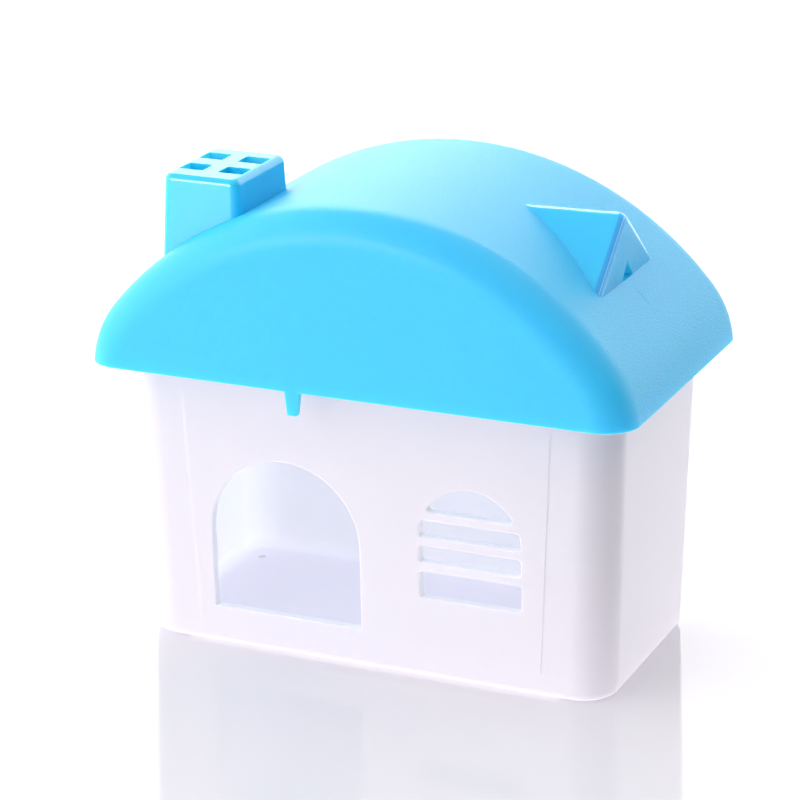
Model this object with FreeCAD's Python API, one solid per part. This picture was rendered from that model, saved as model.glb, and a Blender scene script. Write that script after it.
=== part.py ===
# Small plastic pet house: a white moulded tub with an arched door and a barred window, and a blue
# vaulted roof that lifts off it. The roof's dormer and its chimney are moulded in one with it; the
# chimney is kept as a solid of its own, which stands on the vault.
# Millimetres. X runs along the front, the front wall faces -Y, Z is up. The origin is on the
# surface the house stands on, under the middle of the tub.
import FreeCAD, Part
import os
from math import asin, atan2, cos, degrees, radians, sin, tan, pi

V = FreeCAD.Vector

# Tub, sized at the floor; the walls lean out by the mould's draft.
body_length = 120.0
body_width = 60.0
body_height = 76.0
body_draft = 1.5          # degrees
body_corner = 9.0
body_wall = 2.0
body_floor = 2.0
body_foot_round = 2.0     # outside round between walls and underside
body_inside_round = 3.0   # inside round between walls and floor
flange_thickness = 2.0    # flange round the mouth, which carries the roof

# Door: upright sides under a half-round top.
door_place = -0.1725      # of the tub's length, from its middle
door_width = 38.5
door_height = 39.6
door_sill = 9.9

# Window: the same shape, crossed by level bars moulded in one with the wall.
window_place = 0.2217     # of the tub's length, from its middle
window_width = 25.4
window_height = 28.4
window_sill = 20.7
window_bars = 3
bar_height = 2.2
bar_pitch = 6.4
bar_first = 6.7           # from the sill to the lowest bar
opening_corner = 0.8      # small corner radius of the square corners
opening_round = 0.3       # round on the outer edge of each opening

# The mould's side core leaves a face that stands a hair proud of the front wall.
core_height = 0.15
core_top_margin = 13.0    # from the tub's ends
core_bottom_margin = 16.0
core_bottom = 6.0

# Roof: a barrel vault of one wide crest arc between two tight shoulder arcs.
roof_overhang_length = 8.15   # rim beyond the tub's foot, at each end
roof_overhang_width = 10.6    # and at the front and back
roof_length = body_length + 2 * roof_overhang_length
roof_width = body_width + 2 * roof_overhang_width
roof_rim = 70.8           # height of the rim
roof_crest = 114.1        # height of the crest
roof_shoulder_radius = 24.5
roof_shoulder_lean = 4.5  # degrees off upright where the vault meets the rim
roof_gable_lean = 2.3     # degrees
roof_edge_round = 8.5     # round between vault and gables
roof_wall = 2.0

# Ribs inside the roof that stand on the tub's flange.
rib_thickness = 1.4
rib_depth = 5.0
long_rib_places = (-0.4, 0.0, 0.4)   # of the roof's length, from its middle
end_rib_places = (-0.22, 0.22)       # of its width
roof_gap = 0.4            # between the flange's edge and the inside of the roof

# Tongue under the front rim.
tongue_center = -13.45
tongue_top_width = 3.5
tongue_end_width = 2.3
tongue_drop = 5.7

# Dormer: a small gable on the right slope, with a triangular vent at the foot of its face.
dormer_face = 53.1        # X of the face at the foot
dormer_foot = 94.2        # height of the face's foot
dormer_ridge = 110.4      # where the two slopes would meet, before the ridge is rounded
dormer_width = 38.8       # at the foot
dormer_face_lean = 0.5    # degrees
dormer_ridge_rise = 1.2   # degrees, outwards
dormer_start = 15.0       # where its ridge begins, hidden under the vault
dormer_ridge_round = 2.5
dormer_rake_round = 2.4
vent_width = 7.2
vent_height = 4.5

# Chimney on the front left of the vault, hollow, with four square vents in its top.
chimney_x = -41.1
chimney_y = -16.4
chimney_top = 116.2
chimney_length = 19.3     # along X, at the top
chimney_width = 26.2
chimney_draft = 2.3       # degrees
chimney_corner = 2.2
chimney_top_round = 1.8
chimney_wall = 1.6
chimney_root = 85.0       # a level well under the vault, from which it is drawn up
cap_vent_length = 6.2
cap_vent_width = 5.4
cap_vent_pitch = 10.1
cap_vent_round = 0.5

beyond = 10.0             # how far a cutting tool runs past what it cuts


def rounded_rectangle(length, width, radius, z, x=0.0, y=0.0):
    """Closed wire at height z, centred on x, y."""
    a = length / 2
    b = width / 2
    points = []
    for sx, sy, start in ((1, -1, -90), (1, 1, 0), (-1, 1, 90), (-1, -1, 180)):
        centre = V(x + sx * (a - radius), y + sy * (b - radius), z)
        for turn in (0, 45, 90):
            angle = radians(start + turn)
            points.append(centre + V(cos(angle), sin(angle), 0) * radius)
    edges = []
    for k in range(0, 12, 3):
        edges.append(Part.Arc(points[k], points[k + 1], points[k + 2]).toShape())
        edges.append(Part.makeLine(points[k + 2], points[(k + 3) % 12]))
    return Part.Wire(edges)


def drafted_block(length, width, radius, draft, z0, z1, x=0.0, y=0.0, narrow_up=False):
    """Block whose length and width hold at z0 and grow upwards, or hold at z1 and grow downwards."""
    grow = 2 * (z1 - z0) * tan(radians(draft))
    low, high = (grow, 0.0) if narrow_up else (0.0, grow)
    bottom = rounded_rectangle(length + low, width + low, radius, z0, x, y)
    top = rounded_rectangle(length + high, width + high, radius, z1, x, y)
    return Part.makeLoft([bottom, top], True, True)


def edges_at_height(shape, z):
    """Edges that lie flat at height z."""
    found = []
    for edge in shape.Edges:
        box = edge.BoundBox
        if abs(box.ZMin - z) < 1e-4 and abs(box.ZMax - z) < 1e-4:
            found.append(edge)
    return found


def prism(points, direction):
    """Solid drawn from a closed outline of points along a direction."""
    return Part.Face(Part.makePolygon(points + [points[0]])).extrude(direction)


def box_between(low, high):
    size = high - low
    return Part.makeBox(size.x, size.y, size.z, low)


# Roof forms, each at any depth under the outside, so that walls, seats and gaps all follow it.

def vault_arcs():
    """Shoulder arc's centre, and the radius of the crest arc that meets it smoothly."""
    lean = radians(roof_shoulder_lean)
    centre_x = roof_length / 2 - roof_shoulder_radius * cos(lean)
    centre_z = roof_rim - roof_shoulder_radius * sin(lean)
    down = roof_crest - centre_z
    crest_radius = (centre_x ** 2 + down ** 2 - roof_shoulder_radius ** 2) / (
        2 * (down - roof_shoulder_radius))
    return centre_x, centre_z, crest_radius


def roof_form(depth):
    """Solid inside the vault and gables, at a depth under their outside, run down past the rim."""
    centre_x, centre_z, crest_radius = vault_arcs()
    meet = atan2(centre_z - (roof_crest - crest_radius), centre_x)
    bottom = roof_rim - beyond
    small = roof_shoulder_radius - depth

    def shoulder(angle):
        return V(centre_x + small * cos(angle), 0, centre_z + small * sin(angle))

    def mirrored(point):
        return V(-point.x, 0, point.z)

    low = V(centre_x + small, 0, bottom)
    start, middle, end = shoulder(0), shoulder(meet / 2), shoulder(meet)
    crest = V(0, 0, roof_crest - depth)
    outline = Part.Wire([
        Part.makeLine(low, start),
        Part.Arc(start, middle, end).toShape(),
        Part.Arc(end, crest, mirrored(end)).toShape(),
        Part.Arc(mirrored(end), mirrored(middle), mirrored(start)).toShape(),
        Part.makeLine(mirrored(start), mirrored(low)),
        Part.makeLine(mirrored(low), low)])
    vault = Part.Face(outline).extrude(V(0, 2 * roof_width, 0))
    vault.translate(V(0, -roof_width, 0))

    lean = radians(roof_gable_lean)
    top = roof_crest + beyond

    def gable(z):
        return roof_width / 2 - (z - roof_rim) * tan(lean) - depth / cos(lean)

    side = [V(-roof_length, -gable(bottom), bottom), V(-roof_length, gable(bottom), bottom),
            V(-roof_length, gable(top), top), V(-roof_length, -gable(top), top)]
    form = vault.common(prism(side, V(2 * roof_length, 0, 0)))
    edges = []
    for edge in form.Edges:
        box = edge.BoundBox
        across_depth = box.YMin * box.YMax < 0
        if not across_depth and box.ZMax > bottom + 1e-3:
            edges.append(edge)
    return form.makeFillet(roof_edge_round - depth, edges)


def dormer_form(depth):
    """Solid inside the dormer, at a depth under its outside."""
    half = dormer_width / 2
    rise = dormer_ridge - dormer_foot
    slope = atan2(rise, half)
    length = 2 * (dormer_face - dormer_start)
    climb = length * tan(radians(dormer_ridge_rise))
    apex = dormer_ridge - depth / cos(slope) - climb / 2
    bottom = dormer_foot - beyond - climb
    reach = (apex - bottom) * half / rise
    radius = max(dormer_ridge_round - depth, 0.3)
    x = dormer_start
    side = radius * tan(slope)
    meet_y = side * cos(slope)
    meet_z = apex - side * sin(slope)
    top = apex - radius / cos(slope) + radius
    section = Part.Wire([
        Part.makeLine(V(x, -reach, bottom), V(x, reach, bottom)),
        Part.makeLine(V(x, reach, bottom), V(x, meet_y, meet_z)),
        Part.Arc(V(x, meet_y, meet_z), V(x, 0, top), V(x, -meet_y, meet_z)).toShape(),
        Part.makeLine(V(x, -meet_y, meet_z), V(x, -reach, bottom))])
    block = Part.Face(section).extrude(V(length, 0, climb))
    lean = tan(radians(dormer_face_lean))
    face = dormer_face - depth
    high = dormer_ridge + beyond
    foot_x = face + (dormer_foot - bottom - climb) * lean
    top_x = face - (high - dormer_foot) * lean
    y = -body_length
    low = bottom + climb
    keep = prism([V(0, y, low), V(foot_x, y, low), V(top_x, y, high), V(0, y, high)],
                 V(0, 2 * body_length, 0))
    form = block.common(keep)
    if depth > 0:
        return form
    rakes = []
    for edge in form.Edges:
        box = edge.BoundBox
        if box.XMin > x + beyond and box.YLength > 1e-3 and box.ZMax > low + beyond / 2:
            rakes.append(edge)
    return form.makeFillet(dormer_rake_round, rakes)


def chimney_form(inset):
    """Solid inside the chimney, at an inset under its outside."""
    top = chimney_top - inset
    grow = 2 * inset * tan(radians(chimney_draft))
    radius = max(chimney_corner - inset, 0.4)
    return drafted_block(chimney_length + grow - 2 * inset, chimney_width + grow - 2 * inset, radius,
                         chimney_draft, chimney_root, top, chimney_x, chimney_y, narrow_up=True)


def opening_tool(center, width, sill, head, low, high):
    """Tool for the slice of an arched opening between two heights, square corners just rounded."""
    radius = width / 2
    left = center - radius
    right = center + radius
    y = -body_width
    spring = head - radius
    outline = Part.Wire([
        Part.makeLine(V(left, y, spring), V(left, y, sill)),
        Part.makeLine(V(left, y, sill), V(right, y, sill)),
        Part.makeLine(V(right, y, sill), V(right, y, spring)),
        Part.Arc(V(right, y, spring), V(center, y, head), V(left, y, spring)).toShape()])
    tool = Part.Face(outline).extrude(V(0, body_width, 0))
    tool = tool.common(box_between(V(left - beyond, y - beyond, low), V(right + beyond, beyond, high)))
    corners = []
    for edge in tool.Edges:
        box = edge.BoundBox
        at_end = abs(box.ZMin - low) < 1e-4 or abs(box.ZMin - high) < 1e-4
        if box.YLength > body_width / 2 and at_end and abs(box.ZMin - head) > 1e-4:
            corners.append(edge)
    return tool.makeFillet(opening_corner, corners)


def front_openings():
    """Tools for the door and for each gap of the barred window."""
    door_center = door_place * body_length
    window_center = window_place * body_length
    tools = [opening_tool(door_center, door_width, door_sill, door_sill + door_height,
                          door_sill, door_sill + door_height)]
    head = window_sill + window_height
    low = window_sill
    for k in range(window_bars):
        bar = window_sill + bar_first + k * bar_pitch
        tools.append(opening_tool(window_center, window_width, window_sill, head, low, bar))
        low = bar + bar_height
    tools.append(opening_tool(window_center, window_width, window_sill, head, low, head))
    return tools


def side_core_face():
    """The face that stands a hair proud of the front wall, wider at the top."""
    wall = drafted_block(body_length, body_width, body_corner, body_draft, 0, body_height)
    wall.translate(V(0, -core_height, 0))
    top = body_height - flange_thickness
    low = body_length / 2 - core_bottom_margin
    high = body_length / 2 - core_top_margin
    outline = [V(-low, -body_width, core_bottom), V(low, -body_width, core_bottom),
               V(high, -body_width, top), V(-high, -body_width, top)]
    return wall.common(prism(outline, V(0, body_width / 2 + body_corner, 0)))


def core_face_y(z):
    """Y of the front face at height z."""
    return -body_width / 2 - z * tan(radians(body_draft)) - core_height


def house_body():
    """Tub: drafted walls and floor, a flange round the mouth, door and barred window."""
    outside = drafted_block(body_length, body_width, body_corner, body_draft, 0, body_height)
    outside = outside.makeFillet(body_foot_round, edges_at_height(outside, 0))
    lift = body_floor * tan(radians(body_draft))
    inside = drafted_block(body_length - 2 * body_wall + 2 * lift, body_width - 2 * body_wall + 2 * lift,
                           body_corner - body_wall, body_draft, body_floor, body_height + beyond)
    inside = inside.makeFillet(body_inside_round, edges_at_height(inside, body_floor))
    slab = box_between(V(-roof_length, -roof_width, body_height - flange_thickness),
                       V(roof_length, roof_width, body_height))
    flange = roof_form(roof_wall + roof_gap).common(slab)
    tub = outside.fuse([flange, side_core_face()]).removeSplitter().cut(inside)
    for tool in front_openings():
        tub = tub.cut(tool)
    front = []
    for edge in tub.Edges:
        on_front = all(abs(core_face_y(vertex.Z) - vertex.Y) < 1e-4 for vertex in edge.Vertexes)
        box = edge.BoundBox
        inside_face = max(abs(box.XMin), abs(box.XMax)) < body_length / 2 - core_bottom_margin
        if on_front and inside_face:
            front.append(edge)
    return tub.makeFillet(opening_round, front)


def seat_ribs():
    """Upright ribs inside the roof whose lower ends stand on the tub's flange."""
    inner = roof_form(roof_wall)
    reach = roof_width / 2 - roof_wall - rib_depth
    end = inner_half_length(body_height) - rib_depth
    half = rib_thickness / 2
    ribs = []
    for place in long_rib_places:
        x = place * roof_length
        for side in (-1, 1):
            y0, y1 = sorted((side * reach, side * roof_width))
            ribs.append(box_between(V(x - half, y0, body_height), V(x + half, y1, roof_crest)))
    for place in end_rib_places:
        y = place * roof_width
        for side in (-1, 1):
            x0, x1 = sorted((side * end, side * roof_length))
            ribs.append(box_between(V(x0, y - half, body_height), V(x1, y + half, roof_crest)))
    outer = roof_form(0)
    return [rib.common(outer) for rib in ribs], inner


def inner_half_length(z):
    """Half length of the roof's inside at height z, near the rim."""
    centre_x, centre_z, crest_radius = vault_arcs()
    radius = roof_shoulder_radius - roof_wall
    return centre_x + radius * cos(asin((z - centre_z) / radius))


def rim_and_tongue():
    """Space that keeps everything above the rim, and the tongue's outline below it."""
    above = box_between(V(-roof_length, -roof_width, roof_rim), V(roof_length, roof_width, 2 * roof_crest))
    front = -roof_width / 2
    low = roof_rim - tongue_drop
    outline = [V(tongue_center - tongue_end_width / 2, front, low),
               V(tongue_center + tongue_end_width / 2, front, low),
               V(tongue_center + tongue_top_width / 2, front, roof_rim),
               V(tongue_center + tongue_top_width / 2, front, roof_rim + beyond),
               V(tongue_center - tongue_top_width / 2, front, roof_rim + beyond),
               V(tongue_center - tongue_top_width / 2, front, roof_rim)]
    return above.fuse(prism(outline, V(0, roof_width / 2, 0)))


def dormer_vent():
    """Triangular tool through the dormer's face."""
    half = vent_width / 2
    outline = [V(dormer_face - beyond, -half, dormer_foot), V(dormer_face - beyond, half, dormer_foot),
               V(dormer_face - beyond, 0, dormer_foot + vent_height)]
    return prism(outline, V(2 * beyond, 0, 0))


def cap_vents():
    """Four tools for the vents in the chimney's top."""
    tools = []
    for sx in (-1, 1):
        for sy in (-1, 1):
            tools.append(drafted_block(cap_vent_length, cap_vent_width, cap_vent_round, 0.0,
                                       chimney_top - beyond, chimney_top + beyond,
                                       chimney_x + sx * cap_vent_pitch / 2,
                                       chimney_y + sy * cap_vent_pitch / 2))
    return tools


def chimney():
    """Hollow shaft whose foot follows the vault, with a vented top."""
    shaft = chimney_form(0)
    shaft = shaft.makeFillet(chimney_top_round, edges_at_height(shaft, chimney_top))
    return shaft.cut([chimney_form(chimney_wall), roof_form(0)] + cap_vents())


def roof_shell():
    """Roof: one even wall under the vault, gables and dormer, with ribs, tongue and flue opening."""
    ribs, inner = seat_ribs()
    outside = roof_form(0).fuse(dormer_form(0))
    hollow = inner.fuse([dormer_form(roof_wall), chimney_form(chimney_wall)])
    shell = outside.cut(hollow).common(rim_and_tongue())
    shell = shell.fuse(ribs).removeSplitter()
    return shell.cut(dormer_vent())


def main():
    os.makedirs("parts", exist_ok=True)
    pieces = {"house_body": house_body(), "roof_shell": roof_shell(), "chimney": chimney()}
    for name, shape in pieces.items():
        if len(shape.Solids) == 1:
            shape = shape.Solids[0]
        shape.exportStep("parts/" + name + ".step")
        box = shape.BoundBox
        print(name, len(shape.Solids), "solid", shape.isValid(), round(shape.Volume),
              [round(v, 1) for v in (box.XMin, box.YMin, box.ZMin, box.XMax, box.YMax, box.ZMax)])


main()
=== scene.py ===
import math

import bpy
from mathutils import Matrix, Vector

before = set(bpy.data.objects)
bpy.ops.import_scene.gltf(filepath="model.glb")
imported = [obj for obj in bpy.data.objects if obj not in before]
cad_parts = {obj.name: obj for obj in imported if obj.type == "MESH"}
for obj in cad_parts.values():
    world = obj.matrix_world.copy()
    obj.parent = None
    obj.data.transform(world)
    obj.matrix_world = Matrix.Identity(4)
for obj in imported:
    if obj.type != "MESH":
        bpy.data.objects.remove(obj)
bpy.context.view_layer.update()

# Camera: a long lens in front and to the right of the house, looking down on it, so that the
# door wall, the right-hand end and the vault all show. It stands where the photograph's stood.
camera_place = Vector((0.28645, -0.65211, 0.30680))
camera_turn = math.radians(24.03)
camera_dip = math.radians(19.28)
camera_roll = math.radians(-0.64)

ahead = Vector((-math.sin(camera_turn) * math.cos(camera_dip),
                math.cos(camera_turn) * math.cos(camera_dip), -math.sin(camera_dip)))
level = Vector((math.cos(camera_turn), math.sin(camera_turn), 0.0))
upright = level.cross(ahead)
right = math.cos(camera_roll) * level + math.sin(camera_roll) * upright
up = -math.sin(camera_roll) * level + math.cos(camera_roll) * upright

lens = bpy.data.cameras.new("camera")
lens.sensor_width = 36.0
lens.lens = 141.75
lens.clip_start = 0.01
camera = bpy.data.objects.new("camera", lens)
camera.matrix_world = Matrix(((right.x, up.x, -ahead.x, camera_place.x),
                              (right.y, up.y, -ahead.y, camera_place.y),
                              (right.z, up.z, -ahead.z, camera_place.z),
                              (0.0, 0.0, 0.0, 1.0)))
bpy.context.scene.collection.objects.link(camera)
bpy.context.scene.camera = camera
bpy.context.scene.view_settings.view_transform = "Standard"


# Floor: a sheet of white acrylic on a light table, which the house stands on. It is lit from
# below, less to the right and in front, and it is polished, so it mirrors the foot of the tub.
def colour(hex_code):
    """sRGB hex code to linear colour."""
    channels = [int(hex_code[i:i + 2], 16) / 255 for i in (1, 3, 5)]
    linear = [c / 12.92 if c <= 0.04045 else ((c + 0.055) / 1.055) ** 2.4 for c in channels]
    return (*linear, 1.0)


def add(material, kind, settings=None, **links):
    """Adds a node to a material or world, with its settings and the values or links of its inputs.

    An input goes by its name, with _ for a space, or by i and its number where a name repeats.
    """
    node = material.node_tree.nodes.new(kind)
    for name, value in (settings or {}).items():
        setattr(node, name, value)
    for name, value in links.items():
        socket = node.inputs[int(name[1:]) if name[1:].isdigit() else name.replace("_", " ")]
        if isinstance(value, bpy.types.NodeSocket):
            material.node_tree.links.new(value, socket)
        else:
            socket.default_value = value
    return node


def new_material(name):
    """Empty material."""
    material = bpy.data.materials.new(name)
    material.use_nodes = True
    material.node_tree.nodes.clear()
    return material


# The sheet lies just below the tub's foot, so that the two never share a face. The light from below
# falls off from one reach to the other, counted from the middle towards the dim side.
table_gap = 0.0003
table_half = 6.0
dim_side = (0.894, -0.447, 0.0)
bright_reach = 0.055
dim_reach = 0.16
sheet_white = colour("#DEDBE0")
sheet_roughness = 0.08
acrylic_ior = 1.49
lamp_white = colour("#FFFBFF")
table_light = 0.82
dim_share = 0.15

# Polished acrylic looks like milky glass. The lamps below it light the house from underneath, but
# they don't count where the camera looks at the sheet itself, so the house's shadow stays on it.
acrylic = new_material("white_acrylic_polished")
sheet_ray = add(acrylic, "ShaderNodeLightPath")
sheet_spot = add(acrylic, "ShaderNodeTexCoord")
to_dim_side = add(acrylic, "ShaderNodeVectorMath", {"operation": "DOT_PRODUCT"},
                  i0=sheet_spot.outputs["Object"], i1=dim_side)
lamps = add(acrylic, "ShaderNodeMapRange", {"interpolation_type": "SMOOTHSTEP"},
            Value=to_dim_side.outputs["Value"], From_Min=bright_reach, From_Max=dim_reach,
            To_Min=table_light, To_Max=table_light * dim_share)
sheet_glow = add(acrylic, "ShaderNodeMapRange", Value=sheet_ray.outputs["Is Camera Ray"],
                 To_Min=lamps.outputs[0], To_Max=0.0)
sheet_skin = add(acrylic, "ShaderNodeBsdfPrincipled", Base_Color=sheet_white,
                 Roughness=sheet_roughness, IOR=acrylic_ior, Emission_Color=lamp_white,
                 Emission_Strength=sheet_glow.outputs[0])
add(acrylic, "ShaderNodeOutputMaterial", Surface=sheet_skin.outputs[0])

floor_mesh = bpy.data.meshes.new("floor")
corners = [(x * table_half, y * table_half, -table_gap)
           for x, y in ((-1, -1), (1, -1), (1, 1), (-1, 1))]
floor_mesh.from_pydata(corners, [], [(0, 1, 2, 3)])
floor_mesh.materials.append(acrylic)
floor = bpy.data.objects.new("floor", floor_mesh)
bpy.context.scene.collection.objects.link(floor)

# Studio light: a white room that is brighter in some places than in others, and a small window in
# front, a little to the left. The backdrop that the camera sees is plain white.
room_light = 0.35
window_place = Vector((-0.40, -0.85, 0.34))
window_aim = Vector((0.0, 0.0, 0.06))
window_side = 0.16
window_watts = 0.78

# Places of the room: each one's direction, the cosines of the angles at which its light starts and
# is full, and how much it adds. A place that takes light away is a dim corner.
places = {
    "ceiling": ((0.0, 0.0, 1.0), 0.3, 0.85, 0.6),
    "ceiling_behind": ((0.0, 0.6, 0.8), 0.6, 0.95, 0.15),
    "ceiling_right": ((0.6, 0.0, 0.8), 0.6, 0.95, 0.35),
    "wall_behind_left": ((-0.45, 0.87, 0.20), 0.7, 0.97, 0.55),
    "wall_behind_right": ((0.60, 0.75, 0.25), 0.7, 0.97, 0.3),
    "wall_left": ((-1.0, -0.15, 0.25), 0.6, 0.95, 1.7),
    "wall_front_left": ((-0.45, -0.85, 0.20), 0.6, 0.95, 0.85),
    "dim_right": ((1.0, -0.1, 0.1), 0.65, 0.97, -0.6),
    "dim_front_right": ((0.60, -0.75, 0.30), 0.6, 0.95, -0.28)}

# Glare that lies on glossy plastic only: the light from behind that makes the vault look hazy, and
# the bright panes in front that draw the lines along polished edges.
glares = {
    "behind_left": ((-0.45, 0.87, 0.20), 0.7, 0.97, 2.2),
    "above_vault": ((-0.38, 0.64, 0.67), 0.955, 0.985, 5.5),
    "behind_right": ((0.60, 0.75, 0.25), 0.7, 0.97, 2.6),
    "window_panes": ((-0.40, -0.85, 0.25), 0.97, 0.985, 16.0)}

world = bpy.data.worlds.new("studio")
world.use_nodes = True
world.node_tree.nodes.clear()
bpy.context.scene.world = world
ray = add(world, "ShaderNodeLightPath")
towards = add(world, "ShaderNodeTexCoord")


def light_from(all_places):
    """Sum of the light of round soft-edged places of the room."""
    whole = 0.0
    for name, (aim, start, full, gain) in all_places.items():
        facing = add(world, "ShaderNodeVectorMath", {"operation": "DOT_PRODUCT", "label": name},
                     i0=towards.outputs["Generated"], i1=Vector(aim).normalized())
        part = add(world, "ShaderNodeMapRange", {"interpolation_type": "SMOOTHSTEP"},
                   Value=facing.outputs["Value"], From_Min=start, From_Max=full, To_Min=0.0,
                   To_Max=gain)
        whole = add(world, "ShaderNodeMath", {"operation": "ADD"}, i0=whole,
                    i1=part.outputs[0]).outputs[0]
    return whole


room = add(world, "ShaderNodeMath", {"operation": "ADD"}, i0=light_from(places), i1=room_light)
never_negative = add(world, "ShaderNodeMath", {"operation": "MAXIMUM"}, i0=room.outputs[0], i1=0.0)
glossy_only = add(world, "ShaderNodeMath", {"operation": "MULTIPLY"}, i0=light_from(glares),
                  i1=ray.outputs["Is Glossy Ray"])
whole_room = add(world, "ShaderNodeMath", {"operation": "ADD"}, i0=never_negative.outputs[0],
                 i1=glossy_only.outputs[0])
seen_white = add(world, "ShaderNodeMapRange", Value=ray.outputs["Is Camera Ray"],
                 To_Min=whole_room.outputs[0], To_Max=1.0)
backdrop = add(world, "ShaderNodeBackground", Color=colour("#FFFFFF"),
               Strength=seen_white.outputs[0])
add(world, "ShaderNodeOutputWorld", Surface=backdrop.outputs[0])

window_light = bpy.data.lights.new("window", "AREA")
window_light.size = window_side
window_light.energy = window_watts
window = bpy.data.objects.new("window", window_light)
window.location = window_place
window.rotation_euler = (window_aim - window_place).to_track_quat("-Z", "Y").to_euler()
window.visible_camera = False
bpy.context.scene.collection.objects.link(window)


# Tub: one white polypropylene injection moulding with the door and the barred window in its front
# wall. Polypropylene is milky, so light soaks into its thin walls and the room inside glows; a
# lighter painted white on the inner faces adds to that glow.
polypropylene_ior = 1.49
inner_share = 0.42
outer_share = 0.15
tub_middle = (0.0, 0.0, 0.038)


def dent(material, spot, width, depth, strength):
    """Low swells of a real width and depth, as a moulded skin has where it shrank."""
    swell = add(material, "ShaderNodeTexNoise", Vector=spot.outputs["Object"], Scale=1.0 / width,
                Detail=1.0)
    return add(material, "ShaderNodeBump", Strength=strength, Distance=depth,
               Height=swell.outputs[0])


def outer_faces(material, spot, middle):
    """1 on the faces of a hollow moulding that look away from its middle, 0 on those that don't."""
    from_middle = add(material, "ShaderNodeVectorMath", {"operation": "SUBTRACT"},
                      i0=spot.outputs["Object"], i1=middle)
    outwards = add(material, "ShaderNodeVectorMath", {"operation": "DOT_PRODUCT"},
                   i0=from_middle.outputs[0], i1=spot.outputs["Normal"])
    return add(material, "ShaderNodeMath", {"operation": "GREATER_THAN"},
               i0=outwards.outputs["Value"], i1=0.0)


def thin_wall(material, skin, tint, outer):
    """Lets a share of the light through a skin to its other side, more on the inner faces."""
    share = add(material, "ShaderNodeMapRange", Value=outer.outputs[0], To_Min=inner_share,
                To_Max=outer_share)
    passed = add(material, "ShaderNodeBsdfTranslucent", Color=tint)
    wall = add(material, "ShaderNodeMixShader", i0=share.outputs[0], i1=skin.outputs[0],
               i2=passed.outputs[0])
    add(material, "ShaderNodeOutputMaterial", Surface=wall.outputs[0])


outer_white = colour("#E1DEE4")
# The inner white is lighter than the outer: painted light, for the light that comes through the
# wall.
painted_inner_light_white = colour("#EEF0F9")
tub_roughness = 0.26
milk_spread = (1.0, 1.0, 1.0)
outer_soak = 0.0008
inner_soak = 0.016
tub_swell_width = 0.012
tub_swell_depth = 0.0004
tub_swell_strength = 0.12

# Moulded polypropylene has a soft gloss with low swells in it. The inner faces look lighter than
# the outer ones: the light that comes through the wall soaks far into them, and they also get a
# lighter white, painted light for that glow. A soak is how far light spreads in the plastic, in
# metres, and a turn is how much a face looks along an axis, from 0, not at all, to 1.
tub_plastic = new_material("white_polypropylene_moulded")
tub_spot = add(tub_plastic, "ShaderNodeTexCoord")
tub_point = add(tub_plastic, "ShaderNodeSeparateXYZ", i0=tub_spot.outputs["Object"])
tub_facing = add(tub_plastic, "ShaderNodeSeparateXYZ", i0=tub_spot.outputs["Normal"])
away = outer_faces(tub_plastic, tub_spot, tub_middle)

# Edges of the door, the window and the low step on the front wall: they lie in front of the wall's
# inner face, within its flat part, and don't look forwards. They get a painted glow, a weak white
# emission that stands for light led through the wall, and little of what falls on them soaks in, so
# they stay crisp.
front_inside = -0.0278
flat_reach = 0.0478
jamb_turn = 0.6
jamb_soak = 0.0004
jamb_light = 0.3
painted_jamb_glow_white = colour("#FFFFFF")
in_front = add(tub_plastic, "ShaderNodeMath", {"operation": "LESS_THAN"}, i0=tub_point.outputs["Y"],
               i1=front_inside)
fore = add(tub_plastic, "ShaderNodeMath", {"operation": "ABSOLUTE"}, i0=tub_facing.outputs["Y"])
edgewise = add(tub_plastic, "ShaderNodeMath", {"operation": "LESS_THAN"}, i0=fore.outputs[0],
               i1=jamb_turn)
from_centre = add(tub_plastic, "ShaderNodeMath", {"operation": "ABSOLUTE"},
                  i0=tub_point.outputs["X"])
on_flat = add(tub_plastic, "ShaderNodeMath", {"operation": "LESS_THAN"}, i0=from_centre.outputs[0],
              i1=flat_reach)
in_wall = add(tub_plastic, "ShaderNodeMath", {"operation": "MULTIPLY"}, i0=edgewise.outputs[0],
              i1=on_flat.outputs[0])
jamb = add(tub_plastic, "ShaderNodeMath", {"operation": "MULTIPLY"}, i0=in_front.outputs[0],
           i1=in_wall.outputs[0])
# Painted glow: white emission on the jambs, for light coming through the wall.
jamb_glow = add(tub_plastic, "ShaderNodeMath", {"operation": "MULTIPLY"}, i0=jamb.outputs[0],
                i1=jamb_light)
tub_outer = add(tub_plastic, "ShaderNodeMath", {"operation": "MAXIMUM"}, i0=away.outputs[0],
                i1=jamb.outputs[0])
milk_and_painted_inner_light = add(tub_plastic, "ShaderNodeMix", {"data_type": "RGBA"}, i0=tub_outer.outputs[0],
           i6=painted_inner_light_white, i7=outer_white)
wall_soak = add(tub_plastic, "ShaderNodeMapRange", Value=tub_outer.outputs[0], To_Min=inner_soak,
                To_Max=outer_soak)
soak = add(tub_plastic, "ShaderNodeMapRange", Value=jamb.outputs[0], To_Min=wall_soak.outputs[0],
           To_Max=jamb_soak)

# Gate mark: the small grey dot on the floor inside, behind the door, where the plastic came in.
gate_place = (-0.0520, 0.0190, 0.0020)
gate_radius = 0.0012
gate_core = 0.6
gate_strength = 0.45
gate_grey = colour("#9A98A8")
from_gate = add(tub_plastic, "ShaderNodeVectorMath", {"operation": "DISTANCE"},
                i0=tub_spot.outputs["Object"], i1=gate_place)
gate = add(tub_plastic, "ShaderNodeMapRange", {"interpolation_type": "SMOOTHSTEP"},
           Value=from_gate.outputs["Value"], From_Min=gate_radius * gate_core, From_Max=gate_radius,
           To_Min=gate_strength, To_Max=0.0)
tub_colour = add(tub_plastic, "ShaderNodeMix", {"data_type": "RGBA"}, i0=gate.outputs[0],
                 i6=milk_and_painted_inner_light.outputs[2], i7=gate_grey)

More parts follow.
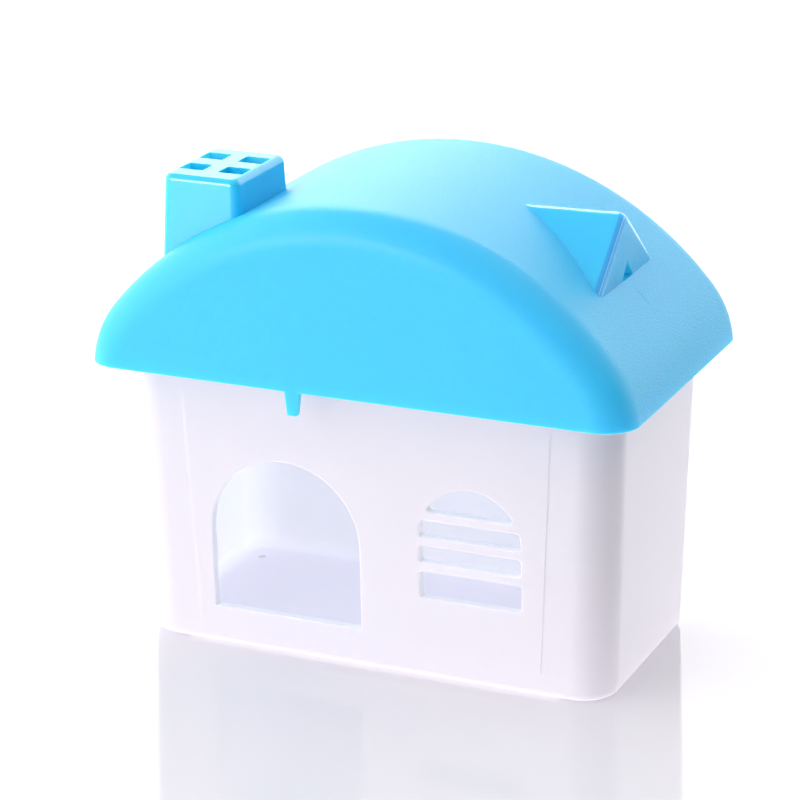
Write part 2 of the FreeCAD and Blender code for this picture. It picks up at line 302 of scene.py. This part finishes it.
tub_swells = dent(tub_plastic, tub_spot, tub_swell_width, tub_swell_depth, tub_swell_strength)
tub_skin = add(tub_plastic, "ShaderNodeBsdfPrincipled", Base_Color=tub_colour.outputs[2],
               Roughness=tub_roughness, IOR=polypropylene_ior, Normal=tub_swells.outputs[0],
               Subsurface_Weight=1.0, Subsurface_Radius=milk_spread,
               Subsurface_Scale=soak.outputs[0], Emission_Color=painted_jamb_glow_white,
               Emission_Strength=jamb_glow.outputs[0])
thin_wall(tub_plastic, tub_skin, tub_colour.outputs[2], tub_outer)
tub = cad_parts["house_body"]
tub.data.materials.clear()
tub.data.materials.append(tub_plastic)

# Roof: one sky-blue polypropylene injection moulding. The mould was finely textured for the vault
# and the dormer's face, which look matte, left smooth for the gables and polished for the rest.
roof_middle = (0.0, 0.0, 0.085)
vault_crest = 0.1141
vault_radius = 0.08096
vault_slack = 0.0002
matte_turn = 0.06
smooth_turn = 0.16
dormer_face_turn = 0.985
sky_blue = colour("#3FCDFF")
# The inner faces' lighter blue is painted light, for the light that comes through the thin shell.
painted_inner_light_blue = colour("#74EDFF")
matte_roughness = 0.44
smooth_roughness = 0.46
polished_roughness = 0.12
blue_spread = (0.4, 0.8, 1.0)
blue_soak = 0.0025
roof_swell_width = 0.014
roof_swell_depth = 0.0004
roof_swell_strength = 0.12

# A mould's fine texture has a grain of 0.1 to 0.2 mm. That is too fine to show in the render, so it
# is drawn 0.5 mm wide.
grain = 0.0005
grain_depth = 0.00022

# Textured polypropylene looks matte and hazy, the rest of the roof glossy. What lies within the
# vault's radius of its axis is vault, rim or gable, and what lies beyond belongs to the dormer. The
# texture ends in the round between the vault and its gables.
roof_plastic = new_material("blue_polypropylene_textured")
roof_spot = add(roof_plastic, "ShaderNodeTexCoord")
roof_point = add(roof_plastic, "ShaderNodeSeparateXYZ", i0=roof_spot.outputs["Object"])
roof_facing = add(roof_plastic, "ShaderNodeSeparateXYZ", i0=roof_spot.outputs["Normal"])
sideways = add(roof_plastic, "ShaderNodeMath", {"operation": "ABSOLUTE"},
               i0=roof_facing.outputs["Y"])
across = add(roof_plastic, "ShaderNodeMapRange", {"interpolation_type": "SMOOTHSTEP"},
             Value=sideways.outputs[0], From_Min=matte_turn, From_Max=smooth_turn, To_Min=1.0,
             To_Max=0.0)
from_axis = add(roof_plastic, "ShaderNodeVectorMath", {"operation": "SUBTRACT"},
                i0=roof_spot.outputs["Object"], i1=(0.0, 0.0, vault_crest - vault_radius))
flat = add(roof_plastic, "ShaderNodeVectorMath", {"operation": "MULTIPLY"}, i0=from_axis.outputs[0],
           i1=(1.0, 0.0, 1.0))
reach = add(roof_plastic, "ShaderNodeVectorMath", {"operation": "LENGTH"}, i0=flat.outputs[0])
on_vault = add(roof_plastic, "ShaderNodeMath", {"operation": "LESS_THAN"},
               i0=reach.outputs["Value"], i1=vault_radius + vault_slack)
off_vault = add(roof_plastic, "ShaderNodeMath", {"operation": "SUBTRACT"}, i0=1.0,
                i1=on_vault.outputs[0])
on_dormer_face = add(roof_plastic, "ShaderNodeMath", {"operation": "GREATER_THAN"},
                     i0=roof_facing.outputs["X"], i1=dormer_face_turn)
unpolished = add(roof_plastic, "ShaderNodeMath", {"operation": "MAXIMUM"}, i0=on_vault.outputs[0],
                 i1=on_dormer_face.outputs[0])
matte = add(roof_plastic, "ShaderNodeMath", {"operation": "MULTIPLY"}, i0=across.outputs[0],
            i1=unpolished.outputs[0])
untextured_roughness = add(roof_plastic, "ShaderNodeMapRange", Value=unpolished.outputs[0],
                           To_Min=polished_roughness, To_Max=smooth_roughness)
roof_roughness = add(roof_plastic, "ShaderNodeMapRange", Value=matte.outputs[0],
                     To_Min=untextured_roughness.outputs[0], To_Max=matte_roughness)

# Weld line where the plastic met again below the dormer's vent: a hairline down the slope.
weld_start = 0.0556
weld_end = 0.0590
weld_y = -0.0005
weld_half_width = 0.00022
weld_strength = 0.75
weld_blue = colour("#1F86C8")
along = add(roof_plastic, "ShaderNodeMath", {"operation": "COMPARE"}, i0=roof_point.outputs["X"],
            i1=(weld_start + weld_end) / 2, i2=(weld_end - weld_start) / 2)
beside = add(roof_plastic, "ShaderNodeMath", {"operation": "SUBTRACT"}, i0=roof_point.outputs["Y"],
             i1=weld_y)
aside = add(roof_plastic, "ShaderNodeMath", {"operation": "ABSOLUTE"}, i0=beside.outputs[0])
hairline = add(roof_plastic, "ShaderNodeMapRange", Value=aside.outputs[0], From_Min=0.0,
               From_Max=weld_half_width, To_Min=weld_strength, To_Max=0.0)
weld = add(roof_plastic, "ShaderNodeMath", {"operation": "MULTIPLY"}, i0=along.outputs[0],
           i1=hairline.outputs[0])
weld_on_vault = add(roof_plastic, "ShaderNodeMath", {"operation": "MULTIPLY"}, i0=weld.outputs[0],
                    i1=on_vault.outputs[0])
welded_blue = add(roof_plastic, "ShaderNodeMix", {"data_type": "RGBA"}, i0=weld_on_vault.outputs[0],
                  i6=sky_blue, i7=weld_blue)

# Round between the dormer's near slope and its face: a painted reflection, a deeper blue than both
# for the dark corner of the studio that the round mirrors, and a painted highlight, a fine lighter
# line along its middle for a thin bright light.
near_turn = -0.1
round_turn = 0.62
round_half_width = 0.30
round_shade_strength = 0.5
painted_round_shade_blue = colour("#1E9CE8")
highlight_line_turn = 0.74
highlight_line_half_width = 0.035
painted_highlight_blue = colour("#A0DCFF")
looks_near = add(roof_plastic, "ShaderNodeMath", {"operation": "LESS_THAN"},
                 i0=roof_facing.outputs["Y"], i1=near_turn)
near_side = add(roof_plastic, "ShaderNodeMath", {"operation": "MULTIPLY"}, i0=looks_near.outputs[0],
                i1=off_vault.outputs[0])
in_round = add(roof_plastic, "ShaderNodeMath", {"operation": "COMPARE"},
               i0=roof_facing.outputs["X"], i1=round_turn, i2=round_half_width)
near_round = add(roof_plastic, "ShaderNodeMath", {"operation": "MULTIPLY"}, i0=in_round.outputs[0],
                 i1=near_side.outputs[0])
painted_round_shade = add(roof_plastic, "ShaderNodeMath", {"operation": "MULTIPLY"}, i0=near_round.outputs[0],
             i1=round_shade_strength)
round_shaded_blue = add(roof_plastic, "ShaderNodeMix", {"data_type": "RGBA"}, i0=painted_round_shade.outputs[0],
                   i6=welded_blue.outputs[2], i7=painted_round_shade_blue)
# Painted highlight: a fine lighter line along the middle of the round.
at_highlight_line = add(roof_plastic, "ShaderNodeMath", {"operation": "COMPARE"},
                 i0=roof_facing.outputs["X"], i1=highlight_line_turn, i2=highlight_line_half_width)
painted_highlight_line = add(roof_plastic, "ShaderNodeMath", {"operation": "MULTIPLY"}, i0=at_highlight_line.outputs[0],
              i1=near_side.outputs[0])
outer_blue = add(roof_plastic, "ShaderNodeMix", {"data_type": "RGBA"}, i0=painted_highlight_line.outputs[0],
                 i6=round_shaded_blue.outputs[2], i7=painted_highlight_blue)

# Inner faces get the lighter painted blue, which stands for light coming through the shell.
roof_outer = outer_faces(roof_plastic, roof_spot, roof_middle)
roof_colour = add(roof_plastic, "ShaderNodeMix", {"data_type": "RGBA"}, i0=roof_outer.outputs[0],
                  i6=painted_inner_light_blue, i7=outer_blue.outputs[2])
roof_swells = dent(roof_plastic, roof_spot, roof_swell_width, roof_swell_depth, roof_swell_strength)
grains = add(roof_plastic, "ShaderNodeTexNoise", Vector=roof_spot.outputs["Object"],
             Scale=1.0 / grain, Detail=2.0)
texture = add(roof_plastic, "ShaderNodeBump", Strength=matte.outputs[0], Distance=grain_depth,
              Height=grains.outputs[0], Normal=roof_swells.outputs[0])
roof_skin = add(roof_plastic, "ShaderNodeBsdfPrincipled", Base_Color=roof_colour.outputs[2],
                Roughness=roof_roughness.outputs[0], IOR=polypropylene_ior,
                Normal=texture.outputs[0], Subsurface_Weight=1.0, Subsurface_Radius=blue_spread,
                Subsurface_Scale=blue_soak)
thin_wall(roof_plastic, roof_skin, roof_colour.outputs[2], roof_outer)
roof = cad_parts["roof_shell"]
roof.data.materials.clear()
roof.data.materials.append(roof_plastic)

# Chimney: the same plastic from a polished mould, so it is the glossiest part of the roof and
# shows the window as a sharp line. It is hollow, and light through its walls tints its vents, whose
# inner faces also get the roof's lighter painted inner blue.
chimney_middle = (-0.0411, -0.0164, 0.100)
# Its blue is lighter than the roof's: painted light, for the brighter light on the chimney's sides.
chimney_painted_lit_blue = colour("#3AD6FF")
chimney_roughness = 0.06
chimney_soak = 0.0012
chimney_swell_width = 0.008
chimney_swell_depth = 0.0002
chimney_swell_strength = 0.1

chimney_plastic = new_material("blue_polypropylene_polished")
chimney_spot = add(chimney_plastic, "ShaderNodeTexCoord")
chimney_outer = outer_faces(chimney_plastic, chimney_spot, chimney_middle)
chimney_colour = add(chimney_plastic, "ShaderNodeMix", {"data_type": "RGBA"},
                     i0=chimney_outer.outputs[0], i6=painted_inner_light_blue, i7=chimney_painted_lit_blue)
chimney_swells = dent(chimney_plastic, chimney_spot, chimney_swell_width, chimney_swell_depth,
                      chimney_swell_strength)
chimney_skin = add(chimney_plastic, "ShaderNodeBsdfPrincipled",
                   Base_Color=chimney_colour.outputs[2], Roughness=chimney_roughness,
                   IOR=polypropylene_ior, Normal=chimney_swells.outputs[0], Subsurface_Weight=1.0,
                   Subsurface_Radius=blue_spread, Subsurface_Scale=chimney_soak)
thin_wall(chimney_plastic, chimney_skin, chimney_colour.outputs[2], chimney_outer)
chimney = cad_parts["chimney"]
chimney.data.materials.clear()
chimney.data.materials.append(chimney_plastic)
